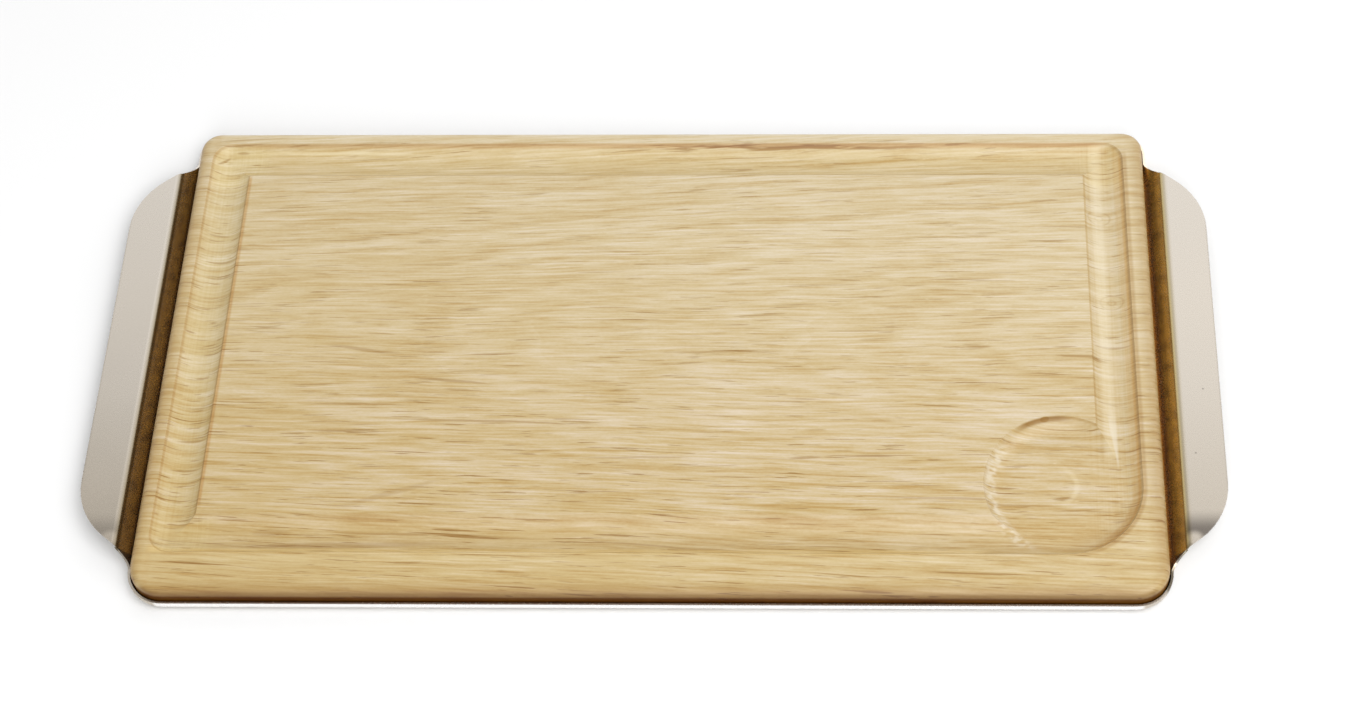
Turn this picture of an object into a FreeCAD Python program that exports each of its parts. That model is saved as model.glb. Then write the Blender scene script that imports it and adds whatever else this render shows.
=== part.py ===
import FreeCAD, Part
import math
import os
import re
import Sketcher
from FreeCAD import Vector

# Steak board: a rounded oak plank with a routed juice groove and a round sauce well, lying loose in a
# pressed stainless tray. The tray has a low upright lip at the front, the back and the four corners. At
# each end its wall leans outwards from the floor and folds over into a level wing, which is the handle.
#
# Frame: X along the board, Y across it, Z up. The origin is the centre of the tray's underside, which is
# what the set stands on. Every driving size is a cell of the sheet below, in millimetres and degrees.

SIZES = {
    # The plank
    "board_length": 360,
    "board_width": 200,
    "board_thickness": 9,
    "front_corner": 12,
    "back_corner": 7.5,
    "top_round": 3,
    "bottom_round": 2.5,
    # The juice groove: its width and depth at the top face, and the rim left outside it on each side
    "groove_width": 15.6,
    "groove_depth": 3.8,
    "rim_left": 5.2,
    "rim_right": 7.6,
    "rim_back": 5.5,
    "rim_front": 16,
    # The sauce well, which touches the outer rims of the right and the front groove
    "well_diameter": 56,
    "well_depth": 4,
    "well_cove": 8,
    # The tray's sheet, the gap between the plank and the upright lip, the lip and the bend at its foot
    "sheet_thickness": 0.8,
    "side_gap": 0.6,
    "lip_height": 4.6,
    "base_bend": 2.2,
    # The leaning end wall: its foot's gap to the plank, its lean from upright, and its fold to the wing,
    # whose top is this far below the plank's
    "end_gap": 1.2,
    "end_lean": 32,
    "wing_drop": 0.5,
    "fold_bend": 1.4,
    # The wing's plan: a straight outer edge, an arc, then a straight run in to the end of the fold
    "wing_width": 15.4,
    "wing_corner": 28,
    "wing_run_angle": 38,
    # The shoulder, where the end wall swings upright and comes down from the fold to the lip: its length,
    # and how much faster it does so at the fold's end
    "shoulder_length": 7.4,
    "shoulder_ease": 1.55,
    # How much of the pan's floor is made with its end, and how far a cutting profile runs on
    "end_floor": 10,
    "cut_margin": 1,
}

TOUCH = 0.001

doc = FreeCAD.newDocument("steak_board")


def size_sheet():
    """Put every driving size in a row of the sheet: its name, and its value under an alias."""
    sheet = doc.addObject("Spreadsheet::Sheet", "Sizes")
    for row, (name, value) in enumerate(SIZES.items(), start=1):
        sheet.set(f"A{row}", name)
        sheet.set(f"B{row}", str(value))
        sheet.setAlias(f"B{row}", name)
    doc.recompute()
    return sheet


sizes = size_sheet()


def bound(text):
    """The expression with each size's name pointed at the sheet."""
    return re.sub(r"[a-z]+(_[a-z]+)+", r"Sizes.\g<0>", text)


def number(text):
    """What an expression in the sheet's names comes to."""
    result = sizes.evalExpression(text)
    return float(getattr(result, "Value", result))


# Worked-out sizes of the plank, each an expression in the names above

HALF_LENGTH = "(board_length / 2)"
HALF_WIDTH = "(board_width / 2)"
HALF_GROOVE = "(groove_width / 2)"
GROOVE_LEFT = f"(rim_left + {HALF_GROOVE} - {HALF_LENGTH})"
GROOVE_RIGHT = f"({HALF_LENGTH} - rim_right - {HALF_GROOVE})"
GROOVE_FRONT = f"(rim_front + {HALF_GROOVE} - {HALF_WIDTH})"
GROOVE_BACK = f"({HALF_WIDTH} - rim_back - {HALF_GROOVE})"
CUTTER_RADIUS = f"(({HALF_GROOVE} * {HALF_GROOVE} / groove_depth + groove_depth) / 2)"
CUTTER_HEIGHT = f"(board_thickness - groove_depth + {CUTTER_RADIUS})"
WELL_RADIUS = "(well_diameter / 2)"
WELL_X = f"({HALF_LENGTH} - rim_right - {WELL_RADIUS})"
WELL_Y = f"({WELL_RADIUS} + rim_front - {HALF_WIDTH})"
WELL_FLOOR = "(board_thickness - well_depth)"
COVE_RUN = "sqrt(well_depth * (2 * well_cove - well_depth))"

# Worked-out sizes of the tray

PAN_LENGTH = f"({HALF_LENGTH} + side_gap + sheet_thickness)"
PAN_WIDTH = f"({HALF_WIDTH} + side_gap + sheet_thickness)"
LIP_X = f"({HALF_LENGTH} + side_gap)"
FOLD_TURN = "(90 - end_lean)"
WING_TOP = "(sheet_thickness + board_thickness - wing_drop)"
FOOT_X = f"({HALF_LENGTH} + end_gap)"
FOOT_UNDER_X = f"({FOOT_X} + sheet_thickness * tan({FOLD_TURN} / 2))"
FOLD_X = f"({FOOT_X} + ({WING_TOP} - sheet_thickness) * tan(end_lean))"
FOLD_UNDER_X = f"({FOLD_X} + sheet_thickness * tan({FOLD_TURN} / 2))"
FOLD_SETBACK = f"((fold_bend + sheet_thickness) * tan({FOLD_TURN} / 2))"
WING_X = f"({FOLD_X} + wing_width)"
# The shoulder reaches the lip where the larger of the pan's corners starts. Above it is the place where
# the leaning wall's top edge leaves the fold
WALL_END = f"({HALF_WIDTH} - max(front_corner; back_corner))"
BREAK_X = f"({FOLD_X} - {FOLD_SETBACK} * sin(end_lean))"
BREAK_Y = f"({WALL_END} - shoulder_length + {FOLD_SETBACK} * sin(end_lean) * tan(wing_run_angle))"
BREAK_Z = f"({WING_TOP} - {FOLD_SETBACK} * cos(end_lean))"
END_FLOOR_X = f"({HALF_LENGTH} - end_floor)"


def make_body(name, height="0"):
    """A body whose own ground plane stands at a height of the shared frame."""
    body = doc.addObject("PartDesign::Body", name)
    body.Label = name
    body.setExpression("Placement.Base.z", bound(height))
    return body


def sketch_on(body, role, name, offset=("0", "0", "0")):
    """An empty sketch on one of the body's own planes, shifted in the plane and off it."""
    sketch = body.newObject("Sketcher::SketchObject", name)
    plane = next(item for item in body.Origin.OriginFeatures if item.Role == role)
    sketch.AttachmentSupport = [(plane, "")]
    sketch.MapMode = "FlatFace"
    for axis, text in zip("xyz", offset):
        sketch.setExpression(f"AttachmentOffset.Base.{axis}", bound(text))
    return sketch


def hold(sketch, kind, text, *places):
    """Add one measured constraint whose value is an expression in the sizes."""
    index = sketch.addConstraint(Sketcher.Constraint(kind, *places, number(text)))
    sketch.setExpression(f"Constraints[{index}]", bound(text))


def hold_end(sketch, edge, which, across, up):
    """Hold an end of an edge, or a circle's centre, at a place measured from the sketch's origin."""
    hold(sketch, "DistanceX", across, -1, 1, edge, which)
    hold(sketch, "DistanceY", up, -1, 1, edge, which)


def short_arc(start, end, radius, turn):
    """The short arc between two places. It turns left for a turn of 1, and right for -1."""
    chord = end - start
    across = Vector(-chord.y, chord.x, 0).normalize() * turn
    centre = start + chord / 2 + across * math.sqrt(radius ** 2 - (chord.Length / 2) ** 2)
    angles = [math.atan2(spot.y - centre.y, spot.x - centre.x) for spot in (start, end)]
    if turn < 0:
        angles.reverse()
    return Part.ArcOfCircle(Part.Circle(centre, Vector(0, 0, 1), radius), *angles)


def draw_loop(sketch, points, bends=None):
    """A closed outline through points, each a pair of expressions. bends gives, for the edge that leaves
    a point, the radius of its arc and which way it turns."""
    spots = [Vector(number(across), number(up), 0) for across, up in points]
    ends = []
    for index, start in enumerate(spots):
        end = spots[(index + 1) % len(spots)]
        radius, turn = (bends or {}).get(index, (None, 1))
        if radius is None:
            edge = sketch.addGeometry(Part.LineSegment(start, end))
        else:
            edge = sketch.addGeometry(short_arc(start, end, number(radius), turn))
            hold(sketch, "Radius", radius, edge)
        ends.append((edge, 1, 2) if turn > 0 else (edge, 2, 1))
    for index, (edge, head, _) in enumerate(ends):
        before, _, tail = ends[index - 1]
        sketch.addConstraint(Sketcher.Constraint("Coincident", before, tail, edge, head))
        hold_end(sketch, edge, head, *points[index])


def draw_path(sketch, points):
    """An open path of straight runs through points, each a pair of expressions."""
    for start, end in zip(points, points[1:]):
        spots = [Vector(number(across), number(up), 0) for across, up in (start, end)]
        edge = sketch.addGeometry(Part.LineSegment(*spots))
        if edge:
            sketch.addConstraint(Sketcher.Constraint("Coincident", edge - 1, 2, edge, 1))
        hold_end(sketch, edge, 1, *start)
    hold_end(sketch, edge, 2, *points[-1])


def rectangle(sketch, left, right, front, back):
    draw_loop(sketch, [(left, front), (right, front), (right, back), (left, back)])


def pad(body, sketch, length, both_ways=False):
    feature = body.newObject("PartDesign::Pad", sketch.Name + "_pad")
    feature.Profile = sketch
    feature.SideType = "Symmetric" if both_ways else "One side"
    feature.setExpression("Length", bound(length))
    doc.recompute()
    return feature


def through_pocket(body, sketch):
    """Cut a sketch's outlines right through the body, both ways from the sketch."""
    feature = body.newObject("PartDesign::Pocket", sketch.Name + "_cut")
    feature.Profile = sketch
    feature.SideType = "Symmetric"
    feature.Type = "ThroughAll"
    return checked_cut(feature)


def checked_cut(feature):
    """Recompute, and make sure that the feature took material away."""
    doc.recompute()
    if feature.Shape.Volume > feature.BaseFeature.Shape.Volume - TOUCH:
        raise RuntimeError(feature.Name + " cuts nothing")
    return feature


def edges_where(feature, wanted):
    """The names of a feature's edges that pass a test."""
    return [f"Edge{index}" for index, edge in enumerate(feature.Shape.Edges, start=1) if wanted(edge)]


def fillet(body, base, name, wanted, radius):
    """Round the edges of the last feature that pass a test."""
    feature = body.newObject("PartDesign::Fillet", name)
    feature.Base = (base, edges_where(base, wanted))
    feature.setExpression("Radius", bound(radius))
    doc.recompute()
    return feature


def is_upright_at(y):
    """A test for the upright edges at a place across the board."""
    def wanted(edge):
        box = edge.BoundBox
        return box.XLength < TOUCH and abs(box.YMin - y) < TOUCH and abs(box.YMax - y) < TOUCH
    return wanted


def is_at_height(height):
    def wanted(edge):
        return abs(edge.BoundBox.ZMin - height) < TOUCH and abs(edge.BoundBox.ZMax - height) < TOUCH
    return wanted


def runs_across_at(x, height):
    """A test for the edges along Y at a height, at the same distance from the middle at either end."""
    def wanted(edge):
        centre = edge.BoundBox.Center
        is_along_y = edge.BoundBox.XLength < TOUCH and edge.BoundBox.ZLength < TOUCH
        return is_along_y and abs(abs(centre.x) - x) < TOUCH and abs(centre.z - height) < TOUCH
    return wanted


def make_board():
    """The plank: cut to size, corners rounded, both faces' edges rounded, then routed from above."""
    body = make_body("board", "sheet_thickness")
    plan = sketch_on(body, "XY_Plane", "plank_plan")
    rectangle(plan, f"0 - {HALF_LENGTH}", HALF_LENGTH, f"0 - {HALF_WIDTH}", HALF_WIDTH)
    plank = pad(body, plan, "board_thickness")
    plank = fillet(body, plank, "plank_front_corners", is_upright_at(-number(HALF_WIDTH)), "front_corner")
    plank = fillet(body, plank, "plank_back_corners", is_upright_at(number(HALF_WIDTH)), "back_corner")
    plank = fillet(body, plank, "plank_top_edge", is_at_height(number("board_thickness")), "top_round")
    fillet(body, plank, "plank_bottom_edge", is_at_height(0), "bottom_round")
    rout_juice_groove(body)
    turn_sauce_well(body)
    return body


def rout_juice_groove(body):
    """A round-nosed cutter leaves the well along the right side and is led round to it again along the
    front, so the groove's inner corners stay sharp and its outer corners take the cutter's own round."""
    path = sketch_on(body, "XY_Plane", "groove_path", ("0", "0", CUTTER_HEIGHT))
    draw_path(path, [
        (GROOVE_RIGHT, WELL_Y),
        (GROOVE_RIGHT, GROOVE_BACK),
        (GROOVE_LEFT, GROOVE_BACK),
        (GROOVE_LEFT, GROOVE_FRONT),
        (WELL_X, GROOVE_FRONT),
    ])
    section = sketch_on(body, "XZ_Plane", "cutter_section", ("0", "0", f"0 - {WELL_Y}"))
    centre = Vector(number(GROOVE_RIGHT), number(CUTTER_HEIGHT), 0)
    edge = section.addGeometry(Part.Circle(centre, Vector(0, 0, 1), number(CUTTER_RADIUS)))
    hold(section, "Radius", CUTTER_RADIUS, edge)
    hold_end(section, edge, 3, GROOVE_RIGHT, CUTTER_HEIGHT)
    doc.recompute()
    groove = body.newObject("PartDesign::SubtractivePipe", "juice_groove")
    groove.Profile = section
    groove.Spine = (path, [f"Edge{index}" for index in range(1, path.GeometryCount + 1)])
    groove.Transition = "Round corner"
    checked_cut(groove)


def turn_sauce_well(body):
    """The well is a revolved section: a flat floor, then a cove up to the rim."""
    section = sketch_on(body, "XZ_Plane", "well_section", (WELL_X, "0", f"0 - {WELL_Y}"))
    draw_loop(section, [
        ("0", WELL_FLOOR),
        (f"{WELL_RADIUS} - {COVE_RUN}", WELL_FLOOR),
        (WELL_RADIUS, "board_thickness"),
        ("0", "board_thickness"),
    ], {1: ("well_cove", 1)})
    well = body.newObject("PartDesign::Groove", "sauce_well")
    well.Profile = section
    well.ReferenceAxis = (section, ["V_Axis"])
    well.Angle = 360
    checked_cut(well)


def make_tray():
    """The tray: a shallow pan shelled from a rounded block, its end walls bent outwards to the wings, and
    four shoulders that bring the end walls round to the pan's own corners."""
    body = make_body("tray")
    plan = sketch_on(body, "XY_Plane", "pan_plan")
    rectangle(plan, f"0 - {PAN_LENGTH}", PAN_LENGTH, f"0 - {PAN_WIDTH}", PAN_WIDTH)
    pan = pad(body, plan, "lip_height")
    front, back = is_upright_at(-number(PAN_WIDTH)), is_upright_at(number(PAN_WIDTH))
    pan = fillet(body, pan, "pan_front_corners", front, "front_corner + side_gap + sheet_thickness")
    pan = fillet(body, pan, "pan_back_corners", back, "back_corner + side_gap + sheet_thickness")
    pan = fillet(body, pan, "pan_foot", is_at_height(0), "base_bend + sheet_thickness")
    shell_pan(body, pan)
    open_ends(body)
    bend_ends(body)
    trim_wings(body)
    for end in (1, -1):
        for side in (1, -1):
            draw_shoulder(body, end, side)
    return body


def shell_pan(body, pan):
    """Leave the sheet's own thickness inside the block, open at the top."""
    top = max(range(len(pan.Shape.Faces)), key=lambda index: pan.Shape.Faces[index].CenterOfMass.z)
    shell = body.newObject("PartDesign::Thickness", "pan_shell")
    shell.Base = (pan, [f"Face{top + 1}"])
    shell.Reversed = True
    shell.setExpression("Value", bound("sheet_thickness"))
    checked_cut(shell)


def open_ends(body):
    """Take out the pan's upright end walls and the floor next to them, between the shoulders."""
    plan = sketch_on(body, "XY_Plane", "end_opening")
    outer_x = f"({PAN_LENGTH} + cut_margin)"
    for side in ("1", "(0 - 1)"):
        corners = [(END_FLOOR_X, f"0 - {WALL_END}"), (outer_x, f"0 - {WALL_END}"), (outer_x, WALL_END),
                   (END_FLOOR_X, WALL_END)]
        draw_loop(plan, [(f"{side} * {x}", y) for x, y in corners])
    through_pocket(body, plan)


def bend_ends(body):
    """The end walls lean outwards from the floor and fold level. They are drawn with sharp bends, and each
    bend is then rounded on both faces."""
    section = sketch_on(body, "XZ_Plane", "end_section")
    for side in ("1", "(0 - 1)"):
        draw_loop(section, [
            (f"{side} * {END_FLOOR_X}", "0"),
            (f"{side} * {FOOT_UNDER_X}", "0"),
            (f"{side} * {FOLD_UNDER_X}", f"{WING_TOP} - sheet_thickness"),
            (f"{side} * {WING_X}", f"{WING_TOP} - sheet_thickness"),
            (f"{side} * {WING_X}", WING_TOP),
            (f"{side} * {FOLD_X}", WING_TOP),
            (f"{side} * {FOOT_X}", "sheet_thickness"),
            (f"{side} * {END_FLOOR_X}", "sheet_thickness"),
        ])
    ends = pad(body, section, f"2 * {BREAK_Y}", both_ways=True)
    bends = [
        ("foot_under_bend", FOOT_UNDER_X, "0", "base_bend + sheet_thickness"),
        ("foot_top_bend", FOOT_X, "sheet_thickness", "base_bend"),
        ("fold_under_bend", FOLD_UNDER_X, f"{WING_TOP} - sheet_thickness", "fold_bend"),
        ("fold_top_bend", FOLD_X, WING_TOP, "fold_bend + sheet_thickness"),
    ]
    for name, across, height, radius in bends:
        ends = fillet(body, ends, name, runs_across_at(number(across), number(height)), radius)


def trim_wings(body):
    """Cut each wing to its plan: outside the arc and the straight run in to the end of the fold."""
    plan = sketch_on(body, "XY_Plane", "wing_trim")
    arc_turn = "(90 - wing_run_angle)"
    run_x = f"({WING_X} - wing_corner * (1 - cos({arc_turn})))"
    run_y = f"({BREAK_Y} - ({run_x} - {BREAK_X}) * tan(wing_run_angle))"
    arc_y = f"({run_y} - wing_corner * sin({arc_turn}))"
    outer_x = f"({WING_X} + cut_margin)"
    outer_y = f"({BREAK_Y} + cut_margin)"
    for end, side in ((1, 1), (1, -1), (-1, 1), (-1, -1)):
        points = [(run_x, run_y), (BREAK_X, BREAK_Y), (BREAK_X, outer_y), (outer_x, outer_y),
                  (outer_x, arc_y), (WING_X, arc_y)]
        draw_loop(plan, [(f"(0 + {end}) * {x}", f"(0 + {side}) * {y}") for x, y in points],
                  {5: ("wing_corner", end * side)})
    through_pocket(body, plan)


def draw_shoulder(body, end, side):
    """One shoulder, drawn through four sections of the wall between the fold's end and the lip. Each has
    the floor, the bend at the foot, and the wall up to its own top edge."""
    name = "shoulder_" + ("right" if end > 0 else "left") + ("_back" if side > 0 else "_front")
    sections = []
    for step in range(4):
        share = f"((1 - {step} / 3) ^ shoulder_ease)"
        foot = f"({LIP_X} + ({FOOT_X} - {LIP_X}) * {share})"
        run = f"({LIP_X} + ({BREAK_X} - {LIP_X}) * {share} - {foot})"
        rise = f"(lip_height + ({BREAK_Z} - lip_height) * {share} - sheet_thickness)"
        place_y = f"({BREAK_Y} + ({WALL_END} - {BREAK_Y}) * {step} / 3)"
        section = sketch_on(body, "XZ_Plane", f"{name}_{step + 1}", ("0", "0", f"0 - {side} * {place_y}"))
        draw_wall(section, end, foot, run, rise)
        sections.append(section)
    doc.recompute()
    shoulder = body.newObject("PartDesign::AdditiveLoft", name)
    shoulder.Profile = sections[0]
    shoulder.Sections = sections[1:]
    doc.recompute()


def draw_wall(section, end, foot, run, rise):
    """A section of the sheet: the floor from the pan, the bend, and a wall that goes out by run and up by
    rise from its foot. The tangent of half the bend's turn sets where the bend starts and ends."""
    slant = f"sqrt({run} * {run} + {rise} * {rise})"
    half_turn = f"(({slant} - {run}) / {rise})"
    foot_under = f"({foot} + sheet_thickness * {half_turn})"
    inner, outer = f"(base_bend * {half_turn})", f"((base_bend + sheet_thickness) * {half_turn})"
    points = [
        (END_FLOOR_X, "sheet_thickness"),
        (f"({foot} - {inner})", "sheet_thickness"),
        (f"({foot} + {inner} * {run} / {slant})", f"sheet_thickness + {inner} * {rise} / {slant}"),
        (f"({foot} + {run})", f"sheet_thickness + {rise}"),
        (f"({foot} + {run} + sheet_thickness * {rise} / {slant})",
         f"sheet_thickness + {rise} - sheet_thickness * {run} / {slant}"),
        (f"({foot_under} + {outer} * {run} / {slant})", f"{outer} * {rise} / {slant}"),
        (f"({foot_under} - {outer})", "0"),
        (END_FLOOR_X, "0"),
    ]
    draw_loop(section, [(f"(0 + {end}) * {x}", z) for x, z in points],
              {1: ("base_bend", end), 5: ("base_bend + sheet_thickness", -end)})


def check_document():
    """Stop if any object of the document is in error."""
    for item in doc.Objects:
        if "Invalid" in item.State or "Error" in item.State:
            raise RuntimeError(f"{item.Name} is {item.State}")


def export(body):
    """Write one piece, once its shape is a single sound solid."""
    shape = body.Shape
    if shape.isNull() or not shape.isValid() or len(shape.Solids) != 1:
        raise RuntimeError(body.Label + " is not one sound solid")
    shape.exportStep(f"parts/{body.Label}.step")
    box = shape.optimalBoundingBox(True, False)
    print(f"{body.Label}: {box.XLength:.2f} x {box.YLength:.2f} x {box.ZLength:.2f} mm, "
          f"{shape.Volume / 1000:.1f} cm3")


pieces = [make_board(), make_tray()]
doc.recompute()
check_document()
os.makedirs("parts", exist_ok=True)
for piece in pieces:
    export(piece)
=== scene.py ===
# %% [markdown]
# # Dressing a steak board
# The object is an oak board with a juice groove and a sauce well, lying loose in a shallow stainless tray
# whose two ends fold out into handle wings. The CAD model already holds the shapes. This lesson gives them
# their oak and their steel, and then the light and the camera of a plain product photograph.
#
# We begin by loading the CAD model. Everything after this stands in its frame, in metres, with +Z up. The
# shaders count in millimetres of the same frame.

import math

import bpy
from mathutils import Euler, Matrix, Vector


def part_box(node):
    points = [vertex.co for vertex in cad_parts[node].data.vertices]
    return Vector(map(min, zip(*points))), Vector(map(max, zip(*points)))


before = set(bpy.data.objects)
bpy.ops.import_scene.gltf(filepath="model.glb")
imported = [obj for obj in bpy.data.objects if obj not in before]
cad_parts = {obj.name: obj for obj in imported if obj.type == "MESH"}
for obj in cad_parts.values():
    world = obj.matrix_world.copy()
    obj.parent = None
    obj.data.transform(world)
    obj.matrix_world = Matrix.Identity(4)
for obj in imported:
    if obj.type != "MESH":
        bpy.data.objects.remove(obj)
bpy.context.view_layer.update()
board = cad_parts["board"]
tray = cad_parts["tray"]
board_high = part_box("board")[1]

# %% [markdown]
# ## Writing shaders as sums
# A material is a tree of nodes, and a tree built node by node is hard to read. So one small class wraps an
# output of a node, and Python's own operators add the Math nodes: `1 - mask * 0.5` is then a shader. Points
# and colours carry three numbers, which a Math node would turn into one, so their sums go through Vector
# Math instead.

# %% A socket that can be summed
def is_triple(value):
    """Does this carry three numbers, as a point or a colour does?"""
    if isinstance(value, Signal):
        return value.socket.type in {"VECTOR", "RGBA"}
    return isinstance(value, tuple)


class Signal:
    """One output of a shader node, with the arithmetic operators."""

    def __init__(self, recipe, socket):
        self.recipe = recipe
        self.socket = socket

    def combine(self, operation, left, right):
        """Add the Math node, or the Vector Math node, that joins the two sides."""
        if is_triple(left) or is_triple(right):
            sides = [side if is_triple(side) or isinstance(side, Signal) else (side, side, side)
                     for side in (left, right)]
            return self.recipe.node("VectorMath", {"operation": operation}, {0: sides[0], 1: sides[1]})
        return self.recipe.node("Math", {"operation": operation}, {0: left, 1: right})

    def __add__(self, other):
        return self.combine("ADD", self, other)

    def __radd__(self, other):
        return self.combine("ADD", other, self)

    def __sub__(self, other):
        return self.combine("SUBTRACT", self, other)

    def __rsub__(self, other):
        return self.combine("SUBTRACT", other, self)

    def __mul__(self, other):
        return self.combine("MULTIPLY", self, other)

    def __rmul__(self, other):
        return self.combine("MULTIPLY", other, self)

    def __truediv__(self, other):
        return self.combine("DIVIDE", self, other)

    def __rtruediv__(self, other):
        return self.combine("DIVIDE", other, self)


# %% [markdown]
# A `Recipe` is one material, or the sky. Its `node` method adds any other node: the node's own settings are
# set first, because they can change which sockets it has, and then each socket is given a value or a link. A
# few named helpers give what this object's finishes are made of: places, noise, soft steps, mixes and tints.
# A mask is a number between 0 and 1, and most masks here are soft steps multiplied together.

# %% A material's recipe
WHITE = (1.0, 1.0, 1.0)


class Recipe:
    """One material or sky, made of nodes."""

    def __init__(self, owner):
        self.owner = owner
        owner.use_nodes = True
        self.tree = owner.node_tree
        self.tree.nodes.clear()

    def node(self, kind, settings=None, sockets=None, output=0):
        """Add a node of a type, set it up, fill its sockets, and return one of its outputs."""
        node = self.tree.nodes.new("ShaderNode" + kind)
        for name, value in (settings or {}).items():
            if name == "stops":
                self.set_stops(node.color_ramp, value)
            else:
                setattr(node, name, value)
        for name, value in (sockets or {}).items():
            if isinstance(value, Signal):
                self.tree.links.new(value.socket, node.inputs[name])
            else:
                node.inputs[name].default_value = value
        return Signal(self, node.outputs[output]) if node.outputs else None

    @staticmethod
    def set_stops(ramp, stops):
        """Give a ramp its stops, each a place and a colour."""
        for place, colour in stops:
            stop = ramp.elements.new(place)
            stop.color = (*colour, 1.0)
        ramp.elements.remove(ramp.elements[0])
        ramp.elements.remove(ramp.elements[-1])

    def position(self):
        """The place on the object, in millimetres of the shared frame."""
        return self.node("TexCoord", output="Object") * 1000.0

    def parts_of(self, triple):
        """The three numbers of a point."""
        outputs = self.node("SeparateXYZ", sockets={0: triple}).socket.node.outputs
        return [Signal(self, outputs[axis]) for axis in range(3)]

    def point(self, x, y, z):
        return self.node("CombineXYZ", sockets={0: x, 1: y, 2: z})

    def noise(self, where, detail=2.0, roughness=0.5):
        """Noise between 0 and 1 that is centred on a half."""
        return self.node("TexNoise", sockets={"Vector": where, "Scale": 1.0, "Detail": detail,
                                              "Roughness": roughness, "Distortion": 0.0})

    def math(self, operation, *values):
        return self.node("Math", {"operation": operation}, dict(enumerate(values)))

    def distance(self, across, along):
        """How far a step across and a step along lead."""
        return self.math("SQRT", across * across + along * along)

    def largest(self, first, *others):
        for other in others:
            first = self.math("MAXIMUM", first, other)
        return first

    def step(self, value, low, high):
        """A soft step: 0 below low, 1 above high, and the other way round when low is the higher."""
        return self.node("MapRange", {"interpolation_type": "SMOOTHSTEP"},
                         {"Value": value, "From Min": low, "From Max": high})

    def near(self, value, place, far, close):
        """A soft line along a place: 0 where the value is farther off than far, 1 where it is close."""
        return self.step(self.math("ABSOLUTE", value - place), far, close)

    def mix(self, share, first, second):
        """Between two colours, by a share."""
        node = self.node("Mix", {"data_type": "RGBA"}, {0: share}, output=2)
        for index, value in ((6, first), (7, second)):
            if isinstance(value, Signal):
                self.tree.links.new(value.socket, node.socket.node.inputs[index])
            else:
                node.socket.node.inputs[index].default_value = (*value, 1.0)
        return node

    def paint(self, colour, coats):
        """Cover a colour with each coat in turn, by its mask."""
        for mask, coat in coats:
            colour = self.mix(mask, colour, coat)
        return colour

    def tint(self, colour, tints):
        """Multiply a colour by each tint in turn, by its mask."""
        for mask, tint in tints:
            colour = colour * self.mix(mask, WHITE, tint)
        return colour

    def finish(self, piece, **sockets):
        """Make the surface, and give it to the piece in place of what it had."""
        names = {name.replace("_", " "): value for name, value in sockets.items()}
        surface = self.node("BsdfPrincipled", sockets=names)
        self.node("OutputMaterial", sockets={"Surface": surface})
        piece.data.materials.clear()
        piece.data.materials.append(self.owner)
        print(f"{self.owner.name}: {len(self.tree.nodes)} nodes on {piece.name}")


# %% [markdown]
# ## Oak
# A tree is a bundle of nested cones, one for each year, and a plank is a flat cut through them. If the
# shader makes the cones, the cut draws its own figure: flames on the top face, lines that dip where they
# cross a groove, rings on the end grain. `depth` is the height above the top face, and `radius` is the
# distance from the heart of the log, which lies below the plank and tilts slowly up to it. Noise that is
# drawn out along the log makes the cones wander as real ones do. On this plank the lines run nearly straight
# across a groove, so inside the cuts the depth counts for a fifth.

# %% The log that the plank was sawn from
HALF_LENGTH, HALF_WIDTH, BOARD_TOP = board_high * 1000
HEART_BELOW, HEART_ACROSS, HEART_TILT = 60.0, 2.0, 0.1
YEAR = 4.3

oak = Recipe(bpy.data.materials.new("oiled_oak"))
x, y, z = oak.parts_of(oak.position())
depth = z - BOARD_TOP
off_centre = oak.math("ABSOLUTE", x)
edge_distance = oak.math("MINIMUM", HALF_LENGTH - off_centre, HALF_WIDTH - oak.math("ABSOLUTE", y))
is_outer = oak.step(edge_distance, 5.1, 4.7)
grain_depth = depth * (0.2 + is_outer * 0.8)


def flecks(length, width, across=y, detail=2.0, roughness=0.5):
    """Noise around 0 in flecks of a length along the grain and a width across it, and deeper than wide."""
    where = oak.point(x / length + length, across / width, grain_depth / (width * 4))
    return oak.noise(where, detail=detail, roughness=roughness) - 0.5


sway = flecks(110, 32)
radius = oak.distance(grain_depth + HEART_BELOW - x * HEART_TILT, y - HEART_ACROSS) + sway * 12
age = radius / YEAR
season = oak.math("FRACT", age)
year_tone = oak.node("TexWhiteNoise", {"noise_dimensions": "1D"}, {"W": oak.math("FLOOR", age)}) - 0.5
years = (math.hypot(HEART_BELOW, HALF_WIDTH) - HEART_BELOW) / YEAR
print("years from the middle of the top to its edge:", round(years))

# %% [markdown]
# Oak is ring-porous. Each spring it lays down a band of wide vessels, which the saw opens as fine dark
# dashes, and in summer dense smooth wood. The dashes are noise that is stretched along the grain and cut off
# high, and there are more of them in the spring bands. Rays, the sheets that run from the heart outwards,
# show as short pale flecks. The fibres between are finer noise of the same kind. `grain_y` fans out slowly to
# the right, as the grain of this plank does, and takes part of the sway.

# %% Vessels and fibres
grain_y = y * (1.0 - x * 0.0005) + sway * 6
spring = oak.step(season, 0.0, 0.2) * oak.step(season, 0.8, 0.3)
bundles = oak.step(flecks(55, 5, grain_y), -0.12, 0.14)
crowding = spring * 0.5 + bundles * 0.5
vessels = oak.step(flecks(19, 0.75, grain_y, roughness=0.6) + crowding * 0.09, 0.17, 0.23)
long_vessels = oak.step(flecks(45, 1.1, grain_y) + crowding * 0.07, 0.19, 0.24)
rays = oak.step(flecks(5, 1.2, roughness=0.6), 0.15, 0.28)
fibres = flecks(36, 2.2, grain_y, detail=3.0, roughness=0.6)
fine_fibres = flecks(12, 0.8, grain_y)
hairs = flecks(70, 0.8, grain_y)
grit = flecks(1.6, 0.6)
print("wood layers: vessels in spring bands and in bundles, pale rays, and four sizes of fibre")

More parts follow.
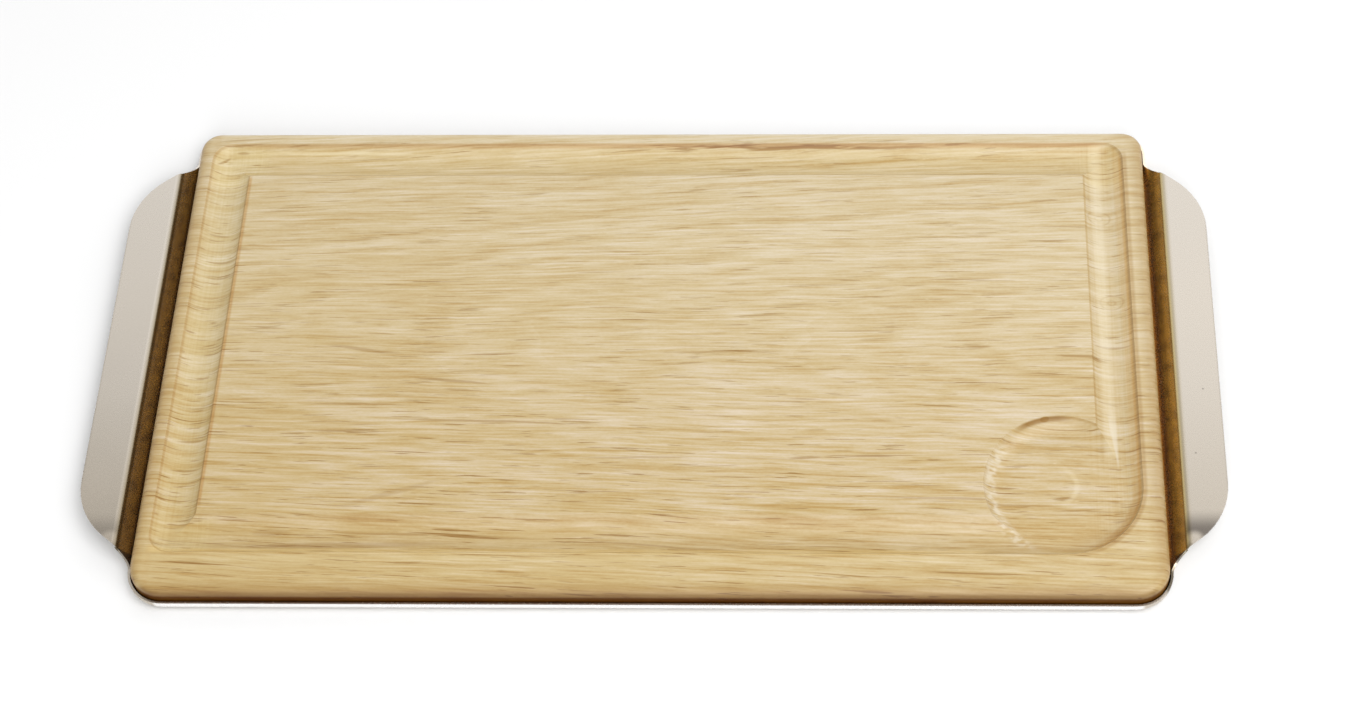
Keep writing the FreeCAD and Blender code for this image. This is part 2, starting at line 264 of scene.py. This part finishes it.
# %% [markdown]
# Some marks on this plank stand out, and have a place of their own: dark vessels that run together, a line
# of torn grain along the back rim with a pale one left of it, and two nests of oval rings, where the right
# groove cuts through a dip of the grain. A streak is a soft ellipse along the grain.

# %% The marks that stand out
# Each streak has its centre, half its length, half its width, its slope and its strength.
STREAKS = [
    ((-74, -13.4), 17, 0.8, -0.12, 0.8), ((-107, -23.4), 22, 0.6, -0.02, 0.7),
    ((24, -0.8), 26, 0.6, 0.0, 0.7), ((-107, 0.0), 16, 1.0, -0.14, 0.7),
    ((-60, -30.5), 46, 0.6, -0.03, 0.8), ((54, -45.6), 7, 0.8, 0.0, 0.9),
    ((-5, -45.5), 24, 0.6, 0.0, 0.6), ((-110, -79.5), 50, 1.8, 0.02, 0.6),
    ((-133, -74), 8, 1.8, 0.0, 0.5), ((-114, -83), 6, 1.4, 0.0, 0.5),
    ((-92, -60.2), 20, 1.6, 0.3, 0.45), ((-76, -75), 46, 0.6, -0.03, 0.7),
    ((11, -80), 42, 0.6, -0.09, 0.7), ((-111, -34.3), 15, 0.6, 0.0, 0.9),
    ((110, -62), 40, 0.7, -0.02, 0.7), ((138.8, -28.9), 1.8, 0.9, 0.2, 1.0),
    ((164.6, 2.8), 9, 0.6, 0.0, 0.8), ((-168.5, 53.5), 5, 0.6, -0.1, 0.8),
    ((-165.0, 41.0), 7, 0.6, -0.05, 0.9), ((-164.6, 33.9), 7, 0.6, -0.05, 0.9),
    ((-166.4, -49.5), 7, 0.6, 0.05, 0.9), ((-165.6, -37.5), 7, 0.6, 0.0, 0.9),
    ((-170.8, 87.9), 2.6, 0.8, 0.8, 1.0), ((-163.7, 91.6), 3.0, 0.6, 0.0, 1.0),
]
NESTS = [(165.4, 22.7), (162.4, 60.6)]
NEST_ACROSS, NEST_ALONG = math.sqrt(13.0), math.sqrt(7.0)
wavy_y = y + flecks(22, 30) * 2.2


def streak(centre, half_length, half_width, slope=0.0, strength=1.0):
    """A soft ellipse on the top, at a place in millimetres."""
    run = x - centre[0]
    along = run / half_length
    across = (wavy_y - centre[1] - run * slope) / half_width
    return oak.step(along * along + across * across, 1.0, 0.1) * strength


def nest(centre):
    """Oval rings round a place, that fade out after the third."""
    run = oak.distance((x - centre[0]) / NEST_ACROSS, (wavy_y - centre[1]) / NEST_ALONG)
    return oak.near(oak.math("FRACT", run * 1.3), 0.5, 0.22, 0.05) * oak.step(run, 2.4, 1.2)


streaks = oak.largest(*[streak(*mark) for mark in STREAKS])
torn_rim = streak((40, 93.1), 74, 0.9) * oak.step(flecks(16, 1.2), -0.1, 0.04)
pale_rim = streak((-132, 91.4), 42, 0.8)
nests = sum(nest(centre) for centre in NESTS)
print(len(STREAKS), "streaks,", len(NESTS), "nests of rings, a torn rim and a pale rim")

# %% [markdown]
# The cutter leaves marks of its own. In the two grooves that cross the grain it drew faint lines along its
# way and nicked the fibres, and a faint ring is left on the floor of the well. A thin browner line runs
# along the brink of the cuts, except along the front, and the lip of the well is darker at the back.
# Browner lines run along the left groove and the outside of the back groove. The outer wall of the right
# groove and the far wall of the well, which face away from the light, carry a browner line and painted
# shade. The outer wall of the front groove is brightened with painted light, and the left side of the
# well's lip, broken up by noise, and the ridge where the right groove runs in carry painted highlights.
#
# `well_run` is the distance from the middle of the well. `far_run` is the same in front of that middle, and
# behind it counts only the way across, so a line of one `far_run` follows the outer wall of the right groove
# and then the wall of the well.

# %% What the cutter left
WELL_X, WELL_Y, WELL_RADIUS = 144.4, -56.0, 28.0
RING_X, RING_Y, RING_RADIUS = 142.0, -54.5, 7.5
RIGHT_GROOVE_MIDDLE = 162.0
LEFT_GROOVE_INSIDE, LEFT_GROOVE_OUTSIDE = -158.9, -173.6
BACK_GROOVE_OUTSIDE, FRONT_GROOVE_OUTSIDE = 93.6, -84.0
RIDGE_Y, RIDGE_HALF = -36.8, 11.5

in_cut = oak.step(depth, -0.3, -1.4)
inner_cut = in_cut * (1.0 - is_outer)
front_cut = inner_cut * oak.step(y, -66.0, -70.0)
back_cut = inner_cut * oak.step(y, 72.0, 78.0)
crosses_grain = inner_cut * oak.step(off_centre, 150.0, 158.0)
left_cut = crosses_grain * oak.step(x, 0.0, -1.0)

well_run = oak.distance(x - WELL_X, y - WELL_Y)
# Darker along the lip of the well at the back.
dark_back_lip = (oak.near(well_run, WELL_RADIUS - 0.6, 1.1, 0.2) * oak.step(x, 127.0, 133.0)
                * oak.step(x, 150.0, 143.0) * oak.step(y, -50.0, -40.0))
# A painted highlight on the left side of the well's lip, broken up by noise.
lip_painted_highlight = (oak.near(well_run, WELL_RADIUS - 2.2, 3.2, 0.5) * oak.step(y, -34.0, -44.0)
            * oak.step(x, 138.0, 126.0) * oak.step(flecks(3, 1.5), -0.16, 0.14))
well_side = oak.step(well_run, WELL_RADIUS + 2.0, WELL_RADIUS + 0.6) * oak.step(x, 133.0, 127.0)
brink = (oak.step(depth, -0.05, -0.25) * oak.step(depth, -1.2, -0.6) * (1.0 - is_outer)
         * oak.largest(oak.step(y, -52.0, -40.0), oak.step(x, -150.0, -158.0)) * (1.0 - well_side))

far_run = oak.distance(x - WELL_X, oak.math("MINIMUM", y - WELL_Y, 0.0))
# Painted shade and a browner line along the outer wall of the right groove and the far wall of the well,
# which face away from the light; lower on the wall, inside the cut, more painted shade.
far_wall_line_and_shade = (oak.near(far_run, WELL_RADIUS - 0.1, 2.0, 0.8) * oak.step(x, 146.0, 160.0)
            * oak.step(y, 92.0, 86.0))
far_side_painted_shade = oak.near(far_run, WELL_RADIUS - 2.2, 2.2, 0.6) * oak.step(x, 150.0, 160.0) * in_cut

inner_line = oak.near(x, LEFT_GROOVE_INSIDE, 1.1, 0.3) * oak.step(y, -68.0, -62.0) * oak.step(y, 80.0, 77.0)
outer_line = oak.near(x, LEFT_GROOVE_OUTSIDE, 1.8, 0.4)
back_line = oak.near(y, BACK_GROOVE_OUTSIDE, 1.0, 0.2) * oak.step(off_centre, 168.0, 160.0)
# Painted light on the outer wall of the front groove.
front_wall_painted_light = (oak.near(y, FRONT_GROOVE_OUTSIDE + 1.4, 2.2, 0.6) * oak.step(x, 120.0, 112.0)
              * oak.step(x, -176.0, -172.0))
front_brink = oak.near(y, FRONT_GROOVE_OUTSIDE - 2.3, 1.6, 0.4) * oak.step(x, 112.0, 100.0)

ring_run = oak.distance(x - RING_X, y - RING_Y)
ring_mark = oak.near(ring_run, RING_RADIUS, 1.5, 0.2) * oak.step(x, RING_X, RING_X + 5.0) * in_cut
cutter_lines = oak.noise(oak.point(x / 0.7, y / 50.0, 0.0)) - 0.5
nicks = oak.step(oak.noise(oak.point(x / 10.0, wavy_y / 1.2, 0.0)), 0.62, 0.7) * crosses_grain
pale_run = oak.near(x, RIGHT_GROOVE_MIDDLE, 3.2, 0.8) * oak.step(y, -46.0, -40.0) * in_cut
ridge_along = (y - RIDGE_Y) / RIDGE_HALF
ridge_start = 162.5 - ridge_along * 1.6
# A painted highlight on the ridge where the right groove runs into the well.
ridge_painted_highlight = (oak.step(x, ridge_start, ridge_start + 0.9) * oak.step(x, 165.2, 163.9)
         * oak.step(ridge_along, -1.1, -0.7) * oak.step(ridge_along, 1.5, 0.3))
print("sauce well", 2 * WELL_RADIUS, "mm across, ring", 2 * RING_RADIUS, "mm")

# %% [markdown]
# The plank's outer faces are browner and darker than the top: partly the oil, and partly painted shade. The
# top also turns darker and browner over the rounding at the front, the left and the right. The end grain,
# where the vessels are cut across, is the darkest and is mottled; part of that darkness is painted shade,
# and it is lighter towards the right end.

# %% What the oil left
# Darker and browner towards the edge at the front, the left and the right.
browner_edges = oak.largest(oak.step(y, -86.0, -96.0), oak.step(x, -170.0, -176.0) * 0.82,
                      oak.step(x, 166.0, 174.0) * 0.75)
rounding = oak.step(edge_distance, 6.0, 0.0) * browner_edges
# The front rounding and the outer faces: darker and browner, partly the oil and partly painted shade.
front_round = is_outer * oak.step(depth, -0.1, -1.6) * oak.step(y, -96.0, -98.0)
outer_face = is_outer * oak.step(depth, -1.6, -3.4)
end_face = is_outer * oak.step(off_centre, HALF_LENGTH - 0.4, HALF_LENGTH - 0.05)
end_dots = oak.step(oak.noise(oak.point(x / 9.0, y / 0.5, depth / 0.5)), 0.54, 0.64)
end_clouds = oak.step(oak.noise(oak.point(x / 9.0, y / 5.0, depth / 2.0), detail=3.0), 0.4, 0.7)
print("outer faces darken below", round(BOARD_TOP - 1.6, 1), "mm")

# %% [markdown]
# All of this meets in one `tone`, which a ramp turns into colour: darker tones are also more golden. Then
# come the dark marks and the pale ones. Over the plank the colour drifts from golden at the front left to
# pale at the back right: the golden and pale patches are the wood's own, and the slow drift is painted
# light, brighter towards the back right. Last, each part gets its tint: some tints are the wood's own
# colour, and some are painted light and painted shade.

# %% Oak, put together
DARK_VESSEL = (0.24, 0.125, 0.017)
PALE_FIBRE = (0.64, 0.57, 0.43)
PAINTED_HIGHLIGHT_PALE = (0.6, 0.54, 0.42)
PALE_PATCH_AND_LIGHT, GOLDEN_PATCH_AND_SHADE = (1.09, 1.125, 1.14), (0.945, 0.88, 0.63)
OILED_AND_SHADED_FACE = (0.43, 0.267, 0.044)
END_GRAIN_AND_SHADE, END_VESSEL = (0.53, 0.285, 0.046), (0.09, 0.035, 0.004)

near_front = oak.step(y, 30.0, -60.0)
coarse = fibres * (0.7 + near_front * 0.4) + flecks(120, 34) * 0.25
fine = (fine_fibres * 0.65 + hairs * 0.8) * (1.0 - crosses_grain * 0.3) + grit * 0.25
tone = (0.55 + coarse + fine + year_tone * 0.1 - spring * 0.08 + crosses_grain * cutter_lines * 0.3
        - oak.step(well_run, WELL_RADIUS + 1.0, WELL_RADIUS - 2.0) * 0.1)
honey = oak.node("ValToRGB", {"stops": [
    (0.1, (0.375, 0.247, 0.092)),
    (0.5, (0.459, 0.36, 0.21)),
    (0.9, (0.531, 0.442, 0.325)),
]}, {0: tone})

marks = streaks * 0.6 + nests * crosses_grain * 0.22 + torn_rim * 0.9 + dark_back_lip * 0.85 + nicks * 0.6
dark = oak.math("MINIMUM", (vessels * 0.5 + long_vessels * 0.5) * (1.0 + near_front * 0.45) + marks, 1.0)
back_rim = oak.step(y, 93.5, 96.0)
pale = oak.largest(ring_mark * 0.25, pale_rim * 0.4, rays * 0.25, pale_run * 0.3, front_brink * 0.2,
                   back_rim * 0.1)
wood = oak.paint(honey, [(dark, DARK_VESSEL), (pale, PALE_FIBRE)])

patches = flecks(40, 8, detail=3.0, roughness=0.6)
# The slow drift in x and y is painted light, brighter towards the back right; the patches are the wood's own.
golden_share_and_light_drift = 0.5 - x / 900.0 - y / 220.0 + patches * 1.4 - (tone - 0.5) * 0.45
wood = wood * oak.mix(golden_share_and_light_drift, PALE_PATCH_AND_LIGHT, GOLDEN_PATCH_AND_SHADE)
light_front = near_front * oak.step(y, -76.0, -64.0) * oak.step(tone, 0.3, 0.7)
wood = oak.tint(wood, [(light_front, (1.0, 1.01, 1.12)), (left_cut, (1.05, 1.08, 1.09))])
# The painted highlights on the well's lip and on the ridge.
wood = oak.mix(oak.largest(lip_painted_highlight * 0.65, ridge_painted_highlight * 0.55), wood, PAINTED_HIGHLIGHT_PALE)

right_rim = oak.step(x, 172.5, 175.0)
well_front = oak.step(y, -50.0, -62.0)
wood = oak.tint(wood, [
    (brink, (0.88, 0.8, 0.64)),
    (rounding, (0.69, 0.56, 0.32)),
    (far_wall_line_and_shade, oak.mix(in_cut, (0.8, 0.7, 0.54), (0.94, 0.76, 0.45))),
    (far_side_painted_shade, oak.mix(well_front, (1.0, 0.93, 0.8), (0.92, 0.8, 0.58))),
    (right_rim, (0.95, 0.925, 0.87)),
    (oak.largest(inner_line, outer_line * 0.15, front_cut * 0.1), (0.86, 0.7, 0.48)),
    (front_round, (0.62, 0.55, 0.42)),
    (back_line * (oak.step(x, -150.0, 30.0) * 0.4 + 0.5), (0.84, 0.68, 0.46)),
    (back_cut, (1.03, 1.0, 0.88)),
    (front_wall_painted_light, (1.17, 1.17, 1.12)),
])
# End grain, its darkness partly painted shade, and lighter towards the right end.
end_grain_and_shade = oak.mix(end_clouds * 0.6 + end_dots * 0.35, END_GRAIN_AND_SHADE, END_VESSEL) * (1.0 + x / 1400.0)
colour = oak.paint(wood, [(outer_face, wood * OILED_AND_SHADED_FACE), (end_face, end_grain_and_shade)])
height = fibres * 0.05 + fine_fibres * 0.05 - vessels * 0.08 + crosses_grain * cutter_lines * 0.03
relief = oak.node("Bump", sockets={"Height": height, "Strength": 0.5, "Distance": 0.001})
oak.finish(board, Base_Color=colour, Roughness=0.6, Normal=relief, Specular_IOR_Level=0.12,
           Coat_Weight=1.0 - outer_face, Coat_Roughness=0.45)

# %% [markdown]
# ## Steel
# The sheet is satin stainless steel, blasted so finely that it blurs what it mirrors. Small grains of noise
# give that, in its tone, its roughness and a slight relief. Across the two front tips of the wings lies a
# painted dark reflection, with a painted pale spot in each. Along each fold the sheet turns down to the
# brown end of the board, and a brown painted reflection of that end lies on the fold. On the right the
# wall below the fold has a painted pale reflection at its top and painted shade at its foot, painted light
# beside the board, and it ends in a painted dark shoulder at the front. Towards the front of the wings the
# sheet carries a darker painted reflection. The outside of the lip is brightened with painted light, and
# two pits mark the right wing.

# %% Steel
PITS = [(195.8, -16.2), (191.5, -42.9)]
PALE_TIP_REFLECTIONS = [(189.0, -77.5), (-188.4, -78.2)]
SHEET_DARK, SHEET_LIGHT = (0.585, 0.532, 0.462), (0.635, 0.578, 0.505)
PIT_EDGE_AND_REFLECTION_DARK = (0.16, 0.14, 0.125)
FOLD_REFLECTION_LEFT, FOLD_REFLECTION_RIGHT = (0.38, 0.34, 0.24), (0.58, 0.48, 0.2)

steel = Recipe(bpy.data.materials.new("satin_steel"))
u, v, w = steel.parts_of(steel.position())
from_middle = steel.math("ABSOLUTE", u)
is_right = steel.step(u, -1.0, 1.0)
grains = steel.noise(steel.point(u / 0.7, v / 0.7, w / 0.7), roughness=0.7) - 0.5
clouds = steel.noise(steel.point(u / 30.0, v / 30.0, w / 10.0), detail=3.0) - 0.5


def spots(places, low, high):
    """A soft round spot at each place, 1 inside the low radius and 0 outside the high one."""
    return sum(steel.step(steel.distance(u - across, v - along), high, low) for across, along in places)


def strip(rise, full, fade, end):
    """A strip along each end of the tray, between two distances from its middle, with soft sides."""
    return steel.step(from_middle, rise, full) * steel.step(from_middle, end, fade)


# A painted dark reflection across each front tip of the wings, with a painted pale spot.
painted_tip_reflection = (steel.step(v + 2.0 - is_right * 2.0, -65.0, -74.0) * (1.0 - spots(PALE_TIP_REFLECTIONS, 1.2, 4.2))
        * (0.45 + 0.4 * is_right) * steel.step(from_middle, 184.0, 187.0))
cut_edge = steel.step(from_middle, 201.2, 201.8)
# A painted brown reflection of the board's end along each fold.
fold_painted_reflection = strip(184.9 + is_right * 0.2, 185.5 + is_right * 0.3, 185.6, 187.6 + is_right * 1.2)
# On the right: a painted pale reflection at the top of the wall, painted shade at its foot, painted light
# beside the board, and a painted dark shoulder at the front.
wall_top_painted_reflection = strip(184.0, 185.2, 185.6, 186.1) * is_right
wall_foot_painted_shade = strip(182.2, 183.0, 183.6, 184.6) * is_right
beside_board_painted_light = strip(179.4, 180.4, 182.0, 182.6) * is_right
shoulder_painted_shade = strip(178.0, 179.5, 186.5, 188.5) * is_right * steel.step(v, -84.0, -86.5)
# Painted light on the outside of the lip.
lip_painted_light = steel.step(steel.math("ABSOLUTE", v), 100.9, 101.3)
# A darker painted reflection towards the front of the wings, less on the right.
front_painted_reflection = steel.step(v, -5.0, -75.0) * (1.0 - is_right * 0.4)

sheet = steel.mix(0.5 + grains * 0.5 + clouds * 0.5, SHEET_DARK, SHEET_LIGHT)
# Dark pits and cut edge, and the painted dark reflection on the tips.
sheet = steel.mix(spots(PITS, 0.15, 0.5) * 0.6 + painted_tip_reflection + cut_edge * 0.2, sheet, PIT_EDGE_AND_REFLECTION_DARK)
sheet = steel.tint(sheet, [(fold_painted_reflection, steel.mix(is_right, FOLD_REFLECTION_LEFT, FOLD_REFLECTION_RIGHT))])
sheet = steel.paint(sheet, [
    (wall_top_painted_reflection, (0.74, 0.68, 0.54)),
    (wall_foot_painted_shade, (0.44, 0.41, 0.36)),
    (beside_board_painted_light, (0.95, 0.8, 0.62)),
    (shoulder_painted_shade, (0.2, 0.17, 0.13)),
])
sheet = sheet * steel.mix(front_painted_reflection, (1.02, 1.02, 1.02), (0.93, 0.905, 0.86))
sheet = steel.tint(sheet, [(steel.step(v, 10.0, 75.0), (0.94, 0.95, 0.965))])
sheet = steel.mix(lip_painted_light, sheet, (1.0, 0.985, 0.97))
satin = steel.node("Bump", sockets={"Height": grains * 0.006, "Strength": 1.0, "Distance": 0.001})
steel.finish(tray, Base_Color=sheet, Metallic=1.0, Roughness=0.27 + grains * 0.06 + clouds * 0.06,
             Normal=satin)

# %% [markdown]
# ## The room
# The photograph has a white ground with no horizon. A wide floor that runs past the picture's edges gives
# that. It lies a hair below the tray, because two faces in one plane flicker. What the steel wings mirror
# tells the rest: they are bright where they mirror the room low behind the board, and darker where they
# mirror it high up or to the left. So the sky is a sum over the direction, brightest low at the back. The
# walls of the grooves are lit from the right and a little from the front, which is where the soft lamp
# stands. A weaker one in front of the board takes away its front shadow.

# %% Floor
FLOOR_HALF, FLOOR_LEVEL = 6.0, -0.0003
PAPER_WHITE = 0.762


def make_floor():
    mesh = bpy.data.meshes.new("floor")
    corners = [(across * FLOOR_HALF, along * FLOOR_HALF, FLOOR_LEVEL)
               for across, along in ((-1, -1), (1, -1), (1, 1), (-1, 1))]
    mesh.from_pydata(corners, [], [(0, 1, 2, 3)])
    floor = bpy.data.objects.new("floor", mesh)
    bpy.context.scene.collection.objects.link(floor)
    return floor


paper = Recipe(bpy.data.materials.new("white_paper"))
paper.finish(make_floor(), Base_Color=(PAPER_WHITE, PAPER_WHITE, PAPER_WHITE, 1.0), Roughness=0.9)

# %% Sky
SKY_DARK, SKY_BRIGHT = 0.6, 1.82
GLOW_TO_THE_RIGHT = 0.15

sky = Recipe(bpy.data.worlds.new("sky"))
bpy.context.scene.world = sky.owner
right, back, up = sky.parts_of(sky.node("TexCoord", output="Generated"))
from_glow = sky.math("ABSOLUTE", right - GLOW_TO_THE_RIGHT)
glow = sky.step(back - up - from_glow * 0.35, -0.56, -0.26)
strength = glow * (SKY_BRIGHT - SKY_DARK) + SKY_DARK
sky.node("OutputWorld", sockets={"Surface": sky.node("Background", sockets={"Strength": strength})})
print("sky from", SKY_DARK, "to", SKY_BRIGHT)


# %% Lamps
def make_lamp(name, place, size, power):
    """A square soft light at a place, turned towards the board."""
    panel = bpy.data.lights.new(name, "AREA")
    panel.size = size
    panel.energy = power
    lamp = bpy.data.objects.new(name, panel)
    lamp.location = place
    lamp.rotation_euler = (-Vector(place)).to_track_quat("-Z", "Y").to_euler()
    bpy.context.scene.collection.objects.link(lamp)
    print(f"{name}: {power} W, {Vector(place).length:.2f} m away")


make_lamp("soft_lamp", (0.65, -0.55, 1.45), size=1.2, power=20.5)
make_lamp("front_fill", (0.1, -1.6, 1.0), size=1.0, power=14.0)

# %% [markdown]
# ## The camera
# The edges of the board run together towards a point far above the picture and right of its middle. That
# point, and the round well, fix where the camera stood, which way it looked, and how long its lens was. The
# point isn't above the picture's middle, which a small lens shift and a slight turn of the camera explain.

# %% Camera
PHOTO_WIDTH = 1348
FOCAL_PIXELS = 2641.9
CENTRE_PIXEL = 800.0
SENSOR = 36.0
STAND = Vector((0.07736, -0.52293, 0.80113 + board_high.z))
YAW, PITCH, ROLL = math.radians(2.849), math.radians(56.968), math.radians(-2.355)

lens = bpy.data.cameras.new("camera")
lens.sensor_width = SENSOR
lens.lens = SENSOR * FOCAL_PIXELS / PHOTO_WIDTH
lens.shift_x = (PHOTO_WIDTH / 2 - CENTRE_PIXEL) / PHOTO_WIDTH
camera = bpy.data.objects.new("camera", lens)
camera.location = STAND
level = Euler((math.pi / 2 - PITCH, 0.0, YAW)).to_matrix()
camera.rotation_euler = (level @ Euler((0.0, 0.0, ROLL)).to_matrix()).to_euler()
bpy.context.scene.collection.objects.link(camera)
bpy.context.scene.camera = camera
bpy.context.scene.view_settings.view_transform = "Standard"
print(f"lens {lens.lens:.1f} mm, shift {lens.shift_x:.3f}")
